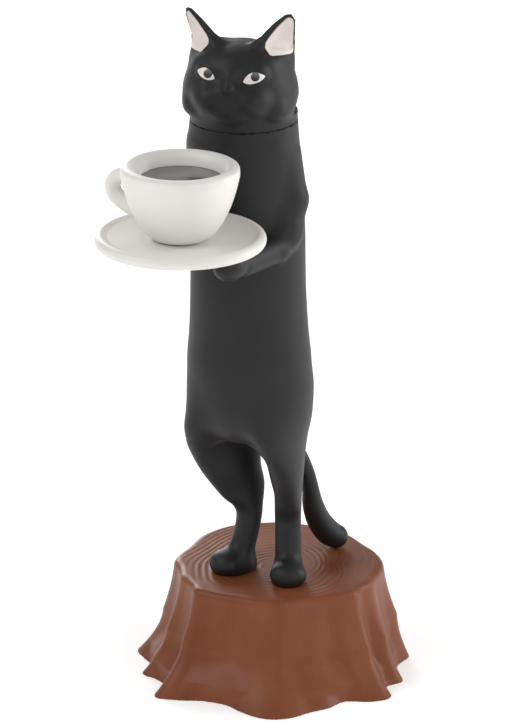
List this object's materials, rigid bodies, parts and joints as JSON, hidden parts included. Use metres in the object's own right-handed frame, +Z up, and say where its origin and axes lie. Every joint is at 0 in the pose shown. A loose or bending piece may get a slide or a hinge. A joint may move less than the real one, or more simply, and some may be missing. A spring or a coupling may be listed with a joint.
{
  "type": "cat figurine",
  "caption": "Upright black cat on a flared tree stump, serving a cup of coffee on a saucer; the head turns, and the cat and the cup lift off.",
  "frame": {"origin": "centre of the stump's flat underside", "axes": "+Z up; the cat's body faces -Y, and +X is the cat's own left side"},
  "size_m": [0.0326, 0.0474, 0.08],
  "materials": {
    "stump": "semi-gloss brown paint on moulded plastic",
    "fur": "satin black moulded plastic, with painted eyes and inner ears",
    "china": "matte off-white moulded plastic",
    "coffee": "high-gloss near-black"
  },
  "bodies": {
    "stump": {"stump_shell": "stump", "stump_base_plate": "stump"},
    "cat": {"torso": "fur", "arm_left": "fur", "arm_right": "fur", "leg_left": "fur", "leg_right": "fur", "tail": "fur", "saucer": "china"},
    "head": {"head": "fur"},
    "cup": {"cup": "china", "coffee": "coffee"}
  },
  "joints": [
    {"name": "cat_lift", "type": "slide", "parent": "stump", "child": "cat", "axis": [0, 0, 1], "range_m": [0, 0.012]},
    {"name": "head_turn", "type": "hinge", "parent": "cat", "child": "head", "pos_m": [0, -0.0071, 0.0676], "axis": [0, 0, 1], "range_deg": [-44, 16]},
    {"name": "cup_lift", "type": "slide", "parent": "cat", "child": "cup", "axis": [0, -0.5, 0.866], "range_m": [0, 0.008]}
  ]
}
